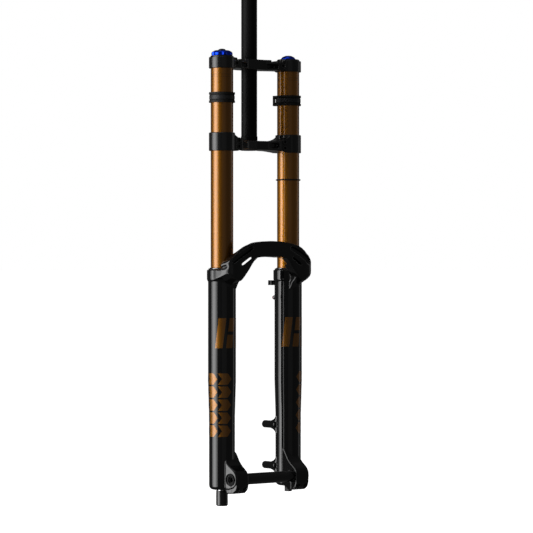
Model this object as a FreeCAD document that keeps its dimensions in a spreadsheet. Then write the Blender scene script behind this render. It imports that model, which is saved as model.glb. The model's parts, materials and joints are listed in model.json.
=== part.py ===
import FreeCAD, Part
import os
import Sketcher

# Dual-crown mountain-bike suspension fork, millimetres.
# +Z runs up the steerer axis, the fork's front faces -Y, the rider's left is +X.
# The origin lies on the steerer axis in the plane of the crown race seat.

document = FreeCAD.newDocument("suspension_fork")
sheet = document.addObject("Spreadsheet::Sheet", "dims")

DIMENSIONS = {
    # steerer
    "steerer_od": 28.6, "steerer_bore": 22.6, "steerer_top": 265, "race_seat_od": 30, "race_seat_top": 8,
    "crown_bore": 30.4,
    # stanchions
    "stanchion_od": 40, "stanchion_bore": 35.4, "stanchion_top": 146, "stanchion_end": -395,
    "leg_offset": 76.5, "leg_rake": -17.7,
    # crowns
    "clamp_od": 46.4, "lower_clamp_top": 12.5, "lower_clamp_bottom": -20, "lower_boss_bottom": -16.8,
    "upper_crown_top": 146, "upper_crown_bottom": 126.2, "boss_od": 44, "pinch_slot": 2,
    "crown_bolt_offset": 53, "crown_bolt_od": 6, "crown_bolt_head_od": 10,
    # frame bumpers
    "bumper_bottom": 65.5, "bumper_top": 83.5, "bumper_od": 46.2, "bumper_waist_od": 43.6,
    "bumper_reach": 27.4,
    # lower legs
    "leg_od": 49.4, "leg_foot_od": 45.9, "collar_od": 53.6, "collar_top": -230.4, "collar_bottom": -249,
    "leg_floor": -608, "leg_bottom": -620, "leg_bore": 42.6, "foot_bore": 41.6, "seal_seat_od": 48,
    "arch_front": -66, "arch_back": -42, "arch_crest": -179.4, "arch_under": -207,
    # axle and dropouts
    "axle_od": 20, "axle_rake": -52, "axle_height": -600.8, "hub_face": 55, "dropout_face": 86,
    # post mount
    "post_offset": 56, "post_face": 25, "post_upper": -510.3, "post_lower": -584.3, "post_boss_od": 13.5,
    # damper and air spring
    "shaft_od": 10, "damper_tube_od": 30, "damper_tube_bore": 28, "running_gap": 0.05,
    "travel_ring_height": -68.5, "travel_ring_section": 2.5,
    "hsc_od": 38, "air_cap_od": 26, "foot_cover_od": 21, "foot_cover_end": -649,
}

for row, (alias, size) in enumerate(DIMENSIONS.items(), start=1):
    sheet.set(f"A{row}", alias.replace("_", " "))
    sheet.set(f"B{row}", str(size))
    sheet.setAlias(f"B{row}", alias)
document.recompute()

LEG_X = {"right": "-dims.leg_offset", "left": "dims.leg_offset"}
SIDE_SIGN = {"right": -1, "left": 1}
LEG_Y = "dims.leg_rake"
BLEEDER_X = {"right": "8 - dims.leg_offset", "left": "dims.leg_offset - 8"}
STEERER_BOLT_RISES = (7, 14.6)
STANCHION = "dims.stanchion_od / 2"
BORE = "dims.stanchion_bore / 2"
SHAFT = "dims.shaft_od / 2"
GAP = "dims.running_gap"

sub_parts = []


def value(expression):
    return float(sheet.evalExpression(str(expression)))


def new_body(label):
    body = document.addObject("PartDesign::Body", "body_" + label)
    body.Label = label
    body.AllowCompound = True
    sub_parts.append(body)
    return body


def new_sketch(body, name, plane, start="0", across="0", up="0"):
    """Sketch on one of the body's own origin planes, moved along the plane's normal and within it."""
    sketch = body.newObject("Sketcher::SketchObject", name + "_sketch")
    support = next(item for item in body.Origin.OriginFeatures if item.Role == plane)
    sketch.AttachmentSupport = [(support, "")]
    sketch.MapMode = "FlatFace"
    sketch.setExpression("AttachmentOffset.Base.x", str(across))
    sketch.setExpression("AttachmentOffset.Base.y", str(up))
    sketch.setExpression("AttachmentOffset.Base.z", str(start))
    return sketch


def draw_outline(sketch, points):
    """Closed straight-sided outline whose corners are bound to the sheet."""
    corners = [FreeCAD.Vector(value(across), value(up), 0) for across, up in points]
    count = len(corners)
    first = sketch.GeometryCount
    sides = [Part.LineSegment(corners[i], corners[(i + 1) % count]) for i in range(count)]
    sketch.addGeometry(sides, False)
    rules = [
        Sketcher.Constraint("Coincident", first + i, 2, first + (i + 1) % count, 1) for i in range(count)
    ]
    for i, corner in enumerate(corners):
        rules.append(Sketcher.Constraint("DistanceX", -1, 1, first + i, 1, corner.x))
        rules.append(Sketcher.Constraint("DistanceY", -1, 1, first + i, 1, corner.y))
    base = sketch.ConstraintCount
    sketch.addConstraint(rules)
    for i, (across, up) in enumerate(points):
        sketch.setExpression(f"Constraints[{base + count + 2 * i}]", str(across))
        sketch.setExpression(f"Constraints[{base + count + 2 * i + 1}]", str(up))


def draw_circle(sketch, across, up, radius):
    centre = FreeCAD.Vector(value(across), value(up), 0)
    ring = sketch.addGeometry(Part.Circle(centre, FreeCAD.Vector(0, 0, 1), value(radius)), False)
    base = sketch.ConstraintCount
    sketch.addConstraint([
        Sketcher.Constraint("DistanceX", -1, 1, ring, 3, centre.x),
        Sketcher.Constraint("DistanceY", -1, 1, ring, 3, centre.y),
        Sketcher.Constraint("Radius", ring, value(radius)),
    ])
    sketch.setExpression(f"Constraints[{base}]", str(across))
    sketch.setExpression(f"Constraints[{base + 1}]", str(up))
    sketch.setExpression(f"Constraints[{base + 2}]", str(radius))


def extrude(kind, body, name, plane, start, length, outline=None, circles=()):
    """Pad along the plane's normal, or pocket against it, from the start offset."""
    sketch = new_sketch(body, name, plane, start)
    if outline:
        draw_outline(sketch, outline)
    for across, up, radius in circles:
        draw_circle(sketch, across, up, radius)
    feature = body.newObject("PartDesign::" + kind, name)
    feature.Profile = sketch
    feature.setExpression("Length", str(length))
    sketch.Visibility = False
    return feature


def pad(body, name, plane, start, length, outline=None, circles=()):
    return extrude("Pad", body, name, plane, start, length, outline, circles)


def pocket(body, name, plane, start, length, outline=None, circles=()):
    """Cut that runs along the plane's normal from the start offset, and is known to remove material."""
    document.recompute()
    before = body.Shape.Volume
    feature = extrude("Pocket", body, name, plane, start, length, outline, circles)
    feature.Reversed = True
    document.recompute()
    if body.Shape.Volume > before - 0.01:
        raise ValueError(name + " removes nothing")
    return feature


def revolve(body, name, profile, across="0", depth="0", cut=False):
    """Turned feature about a vertical axis at (across, depth)."""
    sketch = new_sketch(body, name, "XZ_Plane", start=f"-({depth})", across=across)
    draw_outline(sketch, profile)
    document.recompute()
    before = body.Shape.Volume if cut else 0
    feature = body.newObject("PartDesign::" + ("Groove" if cut else "Revolution"), name)
    feature.Profile = sketch
    feature.ReferenceAxis = (sketch, ["V_Axis"])
    feature.Angle = 360
    sketch.Visibility = False
    if cut:
        document.recompute()
        if body.Shape.Volume > before - 0.01:
            raise ValueError(name + " removes nothing")
    return feature


def turned(label, profile, across="0", depth="0"):
    body = new_body(label)
    revolve(body, label + "_turning", profile, across, depth)
    return body


def sleeve(label, inner, outer, bottom, top, across="0", depth="0"):
    profile = [(inner, bottom), (outer, bottom), (outer, top), (inner, top)]
    return turned(label, profile, across, depth)


def rectangle(left, bottom, right, top):
    return [(left, bottom), (right, bottom), (right, top), (left, top)]


def mirrored_outline(half):
    """Outline symmetric about the vertical axis, from its right half listed top to bottom."""
    left = [(f"-({across})", up) for across, up in reversed(half)]
    return list(half) + left


# ---------------------------------------------------------------- crown assembly

def make_steerer():
    wall = "dims.steerer_bore / 2"
    tube = "dims.steerer_od / 2"
    seat = "dims.race_seat_od / 2"
    press = "dims.crown_bore / 2"
    turned("steerer", [
        (wall, "dims.lower_boss_bottom"), (press, "dims.lower_boss_bottom"), (press, "0"), (seat, "0"),
        (seat, "dims.race_seat_top"),
        (tube, "dims.race_seat_top + 1"), (tube, "dims.upper_crown_top + 2"),
        (tube + " - 0.3", "dims.upper_crown_top + 2.3"), (tube + " - 0.3", "dims.upper_crown_top + 2.7"),
        (tube, "dims.upper_crown_top + 3"), (tube, "dims.steerer_top - 1"),
        (tube + " - 1", "dims.steerer_top"), (wall, "dims.steerer_top"),
    ])


def clamp_circles():
    return [(LEG_X[side], LEG_Y, "dims.clamp_od / 2") for side in LEG_X]


def cut_clamp_bores(body, name, bottom, height, steerer_radius):
    circles = [(LEG_X[side], LEG_Y, STANCHION) for side in LEG_X]
    circles.append(("0", "0", steerer_radius))
    pocket(body, name, "XY_Plane", bottom, height, circles=circles)


def cut_pinch_slots(body, name, bottom, height):
    """Slot from each stanchion bore towards the middle, closed by the pinch bolts."""
    for side, sign in SIDE_SIGN.items():
        near = f"{sign} * (dims.leg_offset - dims.stanchion_od / 2 + 1)"
        far = f"{sign} * (dims.crown_bolt_offset - 8)"
        half_slot = "dims.pinch_slot / 2"
        outline = rectangle(far, "dims.leg_rake - " + half_slot, near, "dims.leg_rake + " + half_slot)
        pocket(body, f"{name}_{side}", "XY_Plane", bottom, height, outline)


def bolt_seats(body, name, heights, face):
    """Bolt holes fore and aft through the pinch ears, with a counterbore at the front."""
    for side, sign in SIDE_SIGN.items():
        across = f"{sign} * dims.crown_bolt_offset"
        holes = [(across, height, "dims.crown_bolt_od / 2") for height in heights]
        seats = [(across, height, "dims.crown_bolt_head_od / 2 + 0.2") for height in heights]
        pocket(body, f"{name}_hole_{side}", "XZ_Plane", "2", "60", circles=holes)
        pocket(body, f"{name}_seat_{side}", "XZ_Plane", f"-({face})", "30", circles=seats)


def make_lower_crown():
    body = new_body("lower_crown")
    height = "dims.lower_clamp_top - dims.lower_clamp_bottom"
    for side, sign in SIDE_SIGN.items():
        arm = [
            ("0", "-23"), (f"{sign} * 22", "-26"), (f"{sign} * 46", "-37"), (f"{sign} * 66", "-38"),
            (f"{sign} * 70", "2"), (f"{sign} * 56", "2"), (f"{sign} * 34", "12"), (f"{sign} * 14", "20"),
            ("0", "21"),
        ]
        pad(body, f"lower_arm_{side}", "XY_Plane", "dims.lower_clamp_bottom", height, arm)
    above = mirrored_outline([
        ("66", "40"), ("66", "12"), ("61", "8"), ("56", "5"), ("50", "2.6"), ("40", "0.6"), ("30", "0"),
    ])
    pocket(body, "lower_arm_tops", "XZ_Plane", "-60", "160", above)
    below = mirrored_outline([("26", "-16"), ("40", "-17"), ("52", "-19"), ("56", "-20"), ("56", "-40")])
    pocket(body, "lower_arm_bottoms", "XZ_Plane", "-60", "160", below)
    for side, sign in SIDE_SIGN.items():
        recess = [
            (f"{sign} * 24", "-4"), (f"{sign} * 40", "-3.4"), (f"{sign} * 43", "-7"),
            (f"{sign} * 40", "-12.6"),
            (f"{sign} * 24", "-12"),
        ]
        pocket(body, "lower_front_relief_" + side, "XZ_Plane", "27.5", "20", recess)
    pad(body, "lower_clamps", "XY_Plane", "dims.lower_clamp_bottom", height, circles=clamp_circles())
    cut_clamp_bores(body, "lower_bores", "-60", "120", "dims.crown_bore / 2")
    cut_pinch_slots(body, "lower_slot", "-60", "120")
    bolt_seats(body, "lower_bolt", ["-1", "-12"], "-32")


def make_upper_crown():
    body = new_body("upper_crown")
    height = "dims.upper_crown_top - dims.upper_crown_bottom"
    pad(body, "upper_clamps", "XY_Plane", "dims.upper_crown_bottom", height, circles=clamp_circles())
    for side, sign in SIDE_SIGN.items():
        arm = [
            ("0", "-22"), (f"{sign} * 20", "-22"), (f"{sign} * 40", "-31"), (f"{sign} * 66", "-33"),
            (f"{sign} * 68", "0"), (f"{sign} * 54", "0"), (f"{sign} * 34", "10"), (f"{sign} * 17", "18"),
            ("0", "18"),
        ]
        pad(body, f"upper_arm_{side}", "XY_Plane", "dims.upper_crown_bottom + 1.4", height + " - 1.6", arm)
        ear = [
            ("0", "0"), (f"{sign} * 17", "10"), (f"{sign} * 16", "20"), (f"{sign} * 12.5", "32"),
            ("0", "32"),
        ]
        pad(body, f"steerer_ear_{side}", "XY_Plane", "dims.upper_crown_bottom + 3", height + " - 4", ear)
        dip = [
            (f"{sign} * 28", "160"), (f"{sign} * 31", "dims.upper_crown_top - 4.5"),
            (f"{sign} * 52", "dims.upper_crown_top - 4.5"), (f"{sign} * 55", "160"),
        ]
        pocket(body, f"upper_arm_dip_{side}", "XZ_Plane", "-60", "160", dip)
        front = rectangle(
            f"{sign} * 23", "dims.upper_crown_bottom + 4.5", f"{sign} * 43", "dims.upper_crown_top - 8"
        )
        pocket(body, f"upper_front_relief_{side}", "XZ_Plane", "19", "30", front)
    cut_clamp_bores(body, "upper_bores", "100", "80", "dims.steerer_od / 2")
    cut_pinch_slots(body, "upper_slot", "100", "80")
    bolt_seats(body, "upper_bolt", ["dims.upper_crown_bottom + 10"], "-26")
    half_slot = "dims.pinch_slot / 2"
    rear_slot = rectangle("-" + half_slot, "dims.steerer_od / 2 - 1", half_slot, "40")
    pocket(body, "steerer_slot", "XY_Plane", "100", "80", rear_slot)
    cross_holes = [("26", f"dims.upper_crown_bottom + {rise}", "2.5") for rise in STEERER_BOLT_RISES]
    pocket(body, "steerer_bolt_holes", "YZ_Plane", "-30", "60", circles=cross_holes)
    cross_seats = [("26", f"dims.upper_crown_bottom + {rise}", "3.6") for rise in STEERER_BOLT_RISES]
    pocket(body, "steerer_bolt_seats", "YZ_Plane", "9", "30", circles=cross_seats)


def cap_screws(label, plane, screws, head_radius, shank_radius, head_length, length):
    """Socket-head screws along a plane's normal; each screw is (across, up, head face offset)."""
    body = new_body(label)
    for number, (across, up, face) in enumerate(screws, start=1):
        name = f"{label}_{number}"
        pad(
            body, name + "_shank", plane, f"({face}) - ({length})", length,
            circles=[(across, up, shank_radius)]
        )
        pad(body, name + "_head", plane, f"({face}) - ({head_length})", head_length,
            circles=[(across, up, head_radius)])
        pocket(body, name + "_socket", plane, f"({face}) - ({head_length}) / 2", head_length,
               circles=[(across, up, f"({head_radius}) / 2")])


def make_crown_bolts():
    head = "dims.crown_bolt_head_od / 2"
    shank = "dims.crown_bolt_od / 2"
    lower = [
        (f"{sign} * dims.crown_bolt_offset", height, "37.5")
        for sign in SIDE_SIGN.values() for height in (-1, -12)
    ]
    cap_screws("lower_crown_bolts", "XZ_Plane", lower, head, shank, "5.5", "33")
    upper = [
        (f"{sign} * dims.crown_bolt_offset", "dims.upper_crown_bottom + 10", "31.5")
        for sign in SIDE_SIGN.values()
    ]
    cap_screws("upper_crown_bolts", "XZ_Plane", upper, head, shank, "5.5", "27")
    steerer = [("26", f"dims.upper_crown_bottom + {rise}", "13.5") for rise in STEERER_BOLT_RISES]
    cap_screws("steerer_clamp_bolts", "YZ_Plane", steerer, "3.4", "2.5", "4.5", "24")


def make_frame_bumper(side, sign):
    """Rubber spool on the stanchion with a pad that points rearward and inward."""
    body = turned("frame_bumper_" + side, [
        (STANCHION, "dims.bumper_bottom"), ("dims.bumper_od / 2", "dims.bumper_bottom"),
        ("dims.bumper_od / 2", "dims.bumper_bottom + 3.5"),
        ("dims.bumper_waist_od / 2", "dims.bumper_bottom + 4.5"),
        ("dims.bumper_waist_od / 2", "dims.bumper_top - 4.5"),
        ("dims.bumper_od / 2", "dims.bumper_top - 3.5"),
        ("dims.bumper_od / 2", "dims.bumper_top"), (STANCHION, "dims.bumper_top"),
    ], LEG_X[side], LEG_Y)
    inward = (-sign * 0.7071, 0.7071)
    along = (0.7071, sign * 0.7071)
    corners = []
    for reach, half_width in (("18", -9), ("dims.bumper_reach", -7), ("dims.bumper_reach", 7), ("18", 9)):
        corners.append((
            f"{LEG_X[side]} + {inward[0]} * ({reach}) + {along[0] * half_width}",
            f"{LEG_Y} + {inward[1]} * ({reach}) + {along[1] * half_width}",
        ))
    pad(
        body, "bumper_pad_" + side, "XY_Plane", "dims.bumper_bottom",
        "dims.bumper_top - dims.bumper_bottom", corners
    )
    pocket(body, "bumper_bore_" + side, "XY_Plane", "dims.bumper_bottom - 5", "30",
           circles=[(LEG_X[side], LEG_Y, STANCHION)])
    groove = [
        ("dims.bumper_waist_od / 2", "dims.bumper_bottom + 5.5"),
        ("dims.bumper_od / 2 + 2", "dims.bumper_bottom + 5.5"),
        ("dims.bumper_od / 2 + 2", "dims.bumper_top - 5.5"),
        ("dims.bumper_waist_od / 2", "dims.bumper_top - 5.5"),
    ]
    revolve(body, "bumper_strap_groove_" + side, groove, LEG_X[side], LEG_Y, cut=True)
    sleeve("bumper_strap_" + side, "dims.bumper_waist_od / 2", "dims.bumper_waist_od / 2 + 0.8",
           "dims.bumper_bottom + 5.7", "dims.bumper_top - 5.7", LEG_X[side], LEG_Y)


def make_damper_upper():
    x = LEG_X["right"]
    tube = "dims.damper_tube_bore / 2"
    turned("damper_top_cap", [
        ("2.05", "112"), (tube, "112"), (tube, "126"), (BORE, "126"), (BORE, "dims.stanchion_top"),
        ("dims.stanchion_od / 2 + 0.5", "dims.stanchion_top"),
        ("dims.stanchion_od / 2 + 0.5", "dims.stanchion_top + 1.7"),
        ("dims.stanchion_od / 2 - 0.4", "dims.stanchion_top + 2.5"), ("5", "dims.stanchion_top + 2.5"),
        ("5", "dims.stanchion_top + 9"), ("2.05", "dims.stanchion_top + 9"),
    ], x, LEG_Y)
    sleeve("damper_tube", tube, "dims.damper_tube_od / 2", "-375", "126", x, LEG_Y)
    sleeve("compression_rod", "2.05", "5", "-100", "112", x, LEG_Y)
    sleeve("base_valve", "5", tube, "-100", "-80", x, LEG_Y)
    sleeve("ifp_spring", "10.4", "12.8", "-7.8", "111.8", x, LEG_Y)
    sleeve("floating_piston", "5 + " + GAP, f"{tube} - {GAP}", "-20", "-8", x, LEG_Y)
    turned("damper_seal_head", [
        (f"{SHAFT} + {GAP}", "-393"), (BORE, "-393"), (BORE, "-375"), (tube, "-375"), (tube, "-366"),
        (f"{SHAFT} + {GAP}", "-366"),
    ], x, LEG_Y)


def make_damper_knobs():
    x = LEG_X["right"]
    base = "dims.stanchion_top + 2.8"
    rim = "dims.hsc_od / 2"
    knob = turned("high_speed_knob", [
        ("5 + " + GAP, base), (rim + " - 1", base), (rim, base + " + 1"), (rim, base + " + 4.6"),
        (rim + " - 1.8", base + " + 6.8"), ("13", base + " + 9"), ("7.4", base + " + 9"),
        ("7.4", base + " + 6.6"), ("5 + " + GAP, base + " + 6.6"),
    ], x, LEG_Y)
    sketch = new_sketch(knob, "knob_scallop", "XY_Plane", base + " - 1")
    draw_circle(sketch, f"{x} + {rim} + 12", LEG_Y, "13.4")
    scallop = knob.newObject("PartDesign::Pocket", "knob_scallop")
    scallop.Profile = sketch
    scallop.Length = 20
    scallop.Reversed = True
    sketch.Visibility = False
    document.recompute()
    axis_sketch = knob.Group[0]
    ring = knob.newObject("PartDesign::PolarPattern", "knob_scallops")
    ring.Originals = [scallop]
    ring.Axis = (axis_sketch, ["V_Axis"])
    ring.Angle = 360
    ring.Occurrences = 8
    knob.Tip = ring
    turned("low_speed_knob", [
        ("0", "dims.stanchion_top - 8"), ("2", "dims.stanchion_top - 8"), ("2", base + " + 6.9"),
        ("6.6", base + " + 6.9"), ("6.6", base + " + 10.2"), ("5.2", base + " + 11.6"),
        ("2.6", base + " + 12.2"),
        ("0", base + " + 12.3"),
    ], x, LEG_Y)


def make_air_upper():
    x = LEG_X["left"]
    top = "dims.stanchion_top"
    turned("air_top_cap", [
        ("2", "58"), ("4.5", "58"), ("4.5", "124"), (BORE, "124"), (BORE, top),
        ("dims.stanchion_od / 2 + 0.3", top),
        ("dims.stanchion_od / 2 + 0.3", top + " + 2"), ("dims.stanchion_od / 2 - 1", top + " + 3"),
        ("6.5", top + " + 3"), ("6.5", top + " + 5.5"), ("3.8", top + " + 5.5"), ("3.8", "136"), ("2", "136"),
    ], x, LEG_Y)
    turned("air_valve", [
        ("1.2", "136"), ("3.8", "136"), ("3.8", top + " + 7"), ("2.6", top + " + 7"), ("2.6", top + " + 2"),
        ("1.2", top + " + 2"),
    ], x, LEG_Y)
    turned("air_cap", [
        ("0", top + " + 8"), ("6.6", top + " + 8"), ("6.6", top + " + 3.3"),
        ("dims.air_cap_od / 2", top + " + 3.3"),
        ("dims.air_cap_od / 2", top + " + 4.6"), ("10.4", top + " + 7.6"), ("5.4", top + " + 9.8"),
        ("0", top + " + 10.4"),
    ], x, LEG_Y)
    spacers = new_body("volume_spacers")
    for number in range(3):
        low = 60 + 21 * number
        revolve(spacers, f"volume_spacer_{number + 1}",
                rectangle("4.5", str(low), "16", str(low + 20)), x, LEG_Y)
    sleeve("air_seal_head", f"{SHAFT} + {GAP}", BORE, "-393", "-375", x, LEG_Y)
    rings = new_body("seal_head_rings")
    for side in LEG_X:
        ring = [("14", "-394.6"), (BORE, "-394.6"), (BORE, "-393"), ("14", "-393")]
        revolve(rings, "seal_head_ring_" + side, ring, LEG_X[side], LEG_Y)


def make_crown_assembly():
    make_steerer()
    make_lower_crown()
    make_upper_crown()
    make_crown_bolts()
    for side, sign in SIDE_SIGN.items():
        sleeve(
            "stanchion_" + side, BORE, STANCHION, "dims.stanchion_end", "dims.stanchion_top", LEG_X[side],
            LEG_Y
        )
        make_frame_bumper(side, sign)
    make_damper_upper()
    make_damper_knobs()
    make_air_upper()
    ring = "dims.travel_ring_section / 2"
    middle = f"{STANCHION} + {GAP} + {ring}"
    travel_ring = new_body("travel_ring")
    sketch = new_sketch(travel_ring, "travel_ring", "XZ_Plane", start=f"-({LEG_Y})", across=LEG_X["left"])
    draw_circle(sketch, middle, "dims.travel_ring_height", ring)
    spin = travel_ring.newObject("PartDesign::Revolution", "travel_ring_turning")
    spin.Profile = sketch
    spin.ReferenceAxis = (sketch, ["V_Axis"])
    spin.Angle = 360
    sketch.Visibility = False


# ---------------------------------------------------------------- lower legs

def leg_profile():
    leg = "dims.leg_od / 2"
    foot = "dims.leg_foot_od / 2"
    collar = "dims.collar_od / 2"
    return [
        ("0", "dims.leg_bottom"), (foot + " - 6", "dims.leg_bottom"),
        (foot + " - 1.6", "dims.leg_bottom + 2.5"),
        (foot, "dims.leg_bottom + 6"), (foot, "-490"), (leg, "-428"), (leg, "dims.collar_bottom - 2"),
        (collar, "dims.collar_bottom"), (collar, "dims.collar_top"), ("0", "dims.collar_top"),
    ]


def bore_profile():
    seat = "dims.seal_seat_od / 2"
    bore = "dims.leg_bore / 2"
    foot = "dims.foot_bore / 2"
    return [
        ("0", "dims.collar_top + 10"), (seat, "dims.collar_top + 10"), (seat, "-250"), (bore, "-250"),
        (bore, "-372"),
        (foot, "-372"), (foot, "dims.leg_floor"), ("0", "dims.leg_floor"),
    ]


def make_arch(body):
    """Bridge lofted from its rear outline to its front outline, then hollowed at the back to an I-section."""
    rear = [
        ("22", "-181.5"), ("31", "-183"), ("40", "-186.8"), ("54", "-193.9"), ("63", "-198.7"),
        ("74", "-204"),
        ("87", "-211"), ("96", "-217"), ("104", "-224"), ("104", "-238"), ("92", "-252"), ("78", "-260"),
        ("72", "-256"), ("63", "-243"), ("50.5", "-230"), ("44", "-219"), ("36", "-212"), ("20", "-209"),
    ]
    front = [
        ("24", "dims.arch_crest - 1"), ("36", "dims.arch_crest - 2.4"), ("48", "dims.arch_crest - 4.6"),
        ("60", "-187"), ("68", "-190.2"), ("76", "-196.4"), ("85", "-204.4"), ("92", "-212"),
        ("96.5", "-220"),
        ("97", "-231"), ("91", "-240"), ("82", "-247"), ("70", "-250.5"), ("60", "-240.5"),
        ("50.8", "-229.2"),
        ("41.6", "-216.2"), ("32.5", "-209"), ("16", "dims.arch_under - 0.4"),
    ]
    back_sketch = new_sketch(body, "arch_back", "XZ_Plane", "-dims.arch_back")
    draw_outline(back_sketch, bridge_outline("dims.arch_crest - 0.6", rear, "dims.arch_under - 1"))
    front_sketch = new_sketch(body, "arch_front", "XZ_Plane", "-dims.arch_front")
    draw_outline(front_sketch, bridge_outline("dims.arch_crest", front, "dims.arch_under"))
    bridge = body.newObject("PartDesign::AdditiveLoft", "arch")
    bridge.Profile = back_sketch
    bridge.Sections = [front_sketch]
    bridge.Ruled = True
    relief = rectangle("-22", "-201", "22", "-188")
    pocket(body, "arch_middle_relief", "XZ_Plane", "30", "-dims.arch_back - 18", relief)
    for side, sign in SIDE_SIGN.items():
        hollow = [
            (f"{sign} * 26", "-203.5"), (f"{sign} * 44", "-202"), (f"{sign} * 58", "-208.5"),
            (f"{sign} * 72", "-217"),
            (f"{sign} * 79", "-223"), (f"{sign} * 79", "-228.5"), (f"{sign} * 60", "-228.5"),
            (f"{sign} * 52", "-221.5"), (f"{sign} * 36", "-221.5"), (f"{sign} * 18", "-216"),
        ]
        pocket(body, "arch_hollow_" + side, "XZ_Plane", "30", "19", hollow)


def bridge_outline(crest, half, under):
    """Whole outline from the crest down the left half, across the underside and back up the right half."""
    mirrored = [(f"-({across})", up) for across, up in reversed(half)]
    return [("0", crest)] + half + [("0", under)] + mirrored


def make_arch_roots(body):
    """Webs and shoulders that carry the arch back into the seal collars, below the crown's path."""
    for side, sign in SIDE_SIGN.items():
        root = [
            ("-20", "-232"), ("dims.arch_back", "-231"), ("dims.arch_back - 8", "-226"),
            ("dims.arch_front + 7", "-230"),
            ("dims.arch_front + 7", "-241"), ("-54", "-248"), ("-47", "-254"), ("-41", "-264"),
            ("-20", "-280"),
        ]
        start = "62" if sign > 0 else "-82"
        pad(body, "arch_root_" + side, "YZ_Plane", start, "20", root)
        shoulder = [
            ("-18", "-230.6"), ("dims.arch_back", "-230.6"), ("-50", "-229.6"), ("-61", "-226.5"),
            ("-64", "-229"),
            ("-57", "-236.5"), ("-49", "-242"), ("-38", "-246.5"), ("-18", "-248.8"),
        ]
        start = "62" if sign > 0 else "-105"
        pad(body, "arch_shoulder_" + side, "YZ_Plane", start, "43", shoulder)
        make_arch_gusset(body, side, sign)
    document.recompute()


def make_arch_gusset(body, side, sign):
    """Slanted web from the inner front of a collar to the arch; it tapers down into the tube."""
    top = [("60", "-27"), ("54.4", "-32.6"), ("66", "-46"), ("76", "-50"), ("76", "-27")]
    foot = [("62", "-28"), ("60", "-31"), ("66", "-37"), ("76", "-40"), ("76", "-28")]
    sketches = []
    for end, height, corners in (("top", "-230.6", top), ("foot", "-268", foot)):
        sketch = new_sketch(body, f"arch_gusset_{end}_{side}", "XY_Plane", height)
        draw_outline(sketch, [(f"{sign} * {across}", along) for across, along in corners])
        sketches.append(sketch)
    gusset = body.newObject("PartDesign::AdditiveLoft", "arch_gusset_" + side)
    gusset.Profile = sketches[0]
    gusset.Sections = [sketches[1]]
    gusset.Ruled = True
    for sketch in sketches:
        sketch.Visibility = False


def trim_arch(body):
    """Rounds the arch in plan about each leg, then cuts the outer channel and the slot below it."""
    for side, sign in SIDE_SIGN.items():
        corner = [
            (f"{sign} * 80", "dims.arch_front - 5"), (f"{sign} * 80", "dims.arch_front"),
            (f"{sign} * 89", "dims.arch_front + 1.4"), (f"{sign} * 94.5", "dims.arch_front + 5"),
            (f"{sign} * 98", "dims.arch_front + 11"), (f"{sign} * 100", "dims.arch_front + 20"),
            (f"{sign} * 102", "dims.arch_front + 32"), (f"{sign} * 103.2", "-17"),
            (f"{sign} * 120", "-17"), (f"{sign} * 120", "dims.arch_front - 5"),
        ]
        pocket(body, "arch_corner_" + side, "XY_Plane", "-290", "140", corner)
        channel = [
            (f"{sign} * 44", "-189"), (f"{sign} * 53", "-191"), (f"{sign} * 69", "-199"),
            (f"{sign} * 84", "-208"),
            (f"{sign} * 88.5", "-212.5"), (f"{sign} * 90", "-217"), (f"{sign} * 87.5", "-220.6"),
            (f"{sign} * 69", "-208.6"),
            (f"{sign} * 50", "-198"), (f"{sign} * 42", "-193"),
        ]
        pocket(body, "arch_channel_" + side, "XZ_Plane", "60", "20", channel)
        flank = [
            ("-57", "-221.4"), ("-48", "-224"), ("-40", "-228.6"), ("-48", "-229.6"), ("-57", "-228.2"),
            ("-59.5", "-225"),
        ]
        start = "95" if sign > 0 else "-125"
        pocket(body, "arch_flank_" + side, "YZ_Plane", start, "30", flank)
        slot = [
            ("48.5", "-206.6"), ("70.5", "-219.8"), ("72.5", "-223.6"), ("69.5", "-223.8"),
            ("49.5", "-211.4"),
            ("47", "-208.6"),
        ]
        near = new_sketch(body, "arch_slot_front_" + side, "XZ_Plane", "70")
        draw_outline(near, [(f"{sign} * ({across} + 3.3)", up) for across, up in slot])
        far = new_sketch(body, "arch_slot_back_" + side, "XZ_Plane", "38")
        draw_outline(far, [(f"{sign} * ({across} - 23.1)", up) for across, up in slot])
        cut = body.newObject("PartDesign::SubtractiveLoft", "arch_slot_" + side)
        cut.Profile = near
        cut.Sections = [far]
        cut.Ruled = True
        near.Visibility = False
        far.Visibility = False
    document.recompute()


def dropout_outline():
    return [
        ("-20", "-548"), ("-33", "-556"), ("-38", "-563.5"), ("-43", "-571"), ("-49", "-577"),
        ("-56", "-581.6"),
        ("-62.5", "-586.5"), ("-66", "-592"), ("-66.6", "-599"), ("-66.6", "-612"), ("-63.5", "-620"),
        ("-56", "-625.4"),
        ("-43", "-626"), ("-33", "-619.6"), ("-20", "-617"),
    ]


def make_dropouts(body):
    """Axle blocks at the foot of each leg: a teardrop pad outside, a flat seat for the hub inside."""
    teardrop = [
        ("-34", "-562"), ("-42", "-572"), ("-50", "-579"), ("-58", "-585"), ("-63.5", "-592"),
        ("-64.6", "-600"),
        ("-63.5", "-608"), ("-58", "-614"), ("-48", "-617"), ("-34", "-616"),
    ]
    hub_flat = [
        ("-24", "-566"), ("-12", "-571"), ("-8", "-577"), ("-8", "-610"), ("-12", "-617"),
        ("-24", "-617"),
    ]
    depth = "dims.dropout_face - dims.hub_face"
    for side, sign in SIDE_SIGN.items():
        start = "dims.hub_face" if sign > 0 else "-dims.dropout_face + 1.6"
        pad(body, "dropout_" + side, "YZ_Plane", start, depth + " - 1.6", dropout_outline())
        start = "dims.dropout_face - 2" if sign > 0 else "-dims.dropout_face"
        pad(body, "dropout_pad_" + side, "YZ_Plane", start, "2", teardrop)
        start = "dims.hub_face" if sign > 0 else "-dims.hub_face - 8"
        pad(body, "hub_flat_" + side, "YZ_Plane", start, "8", hub_flat)


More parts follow.
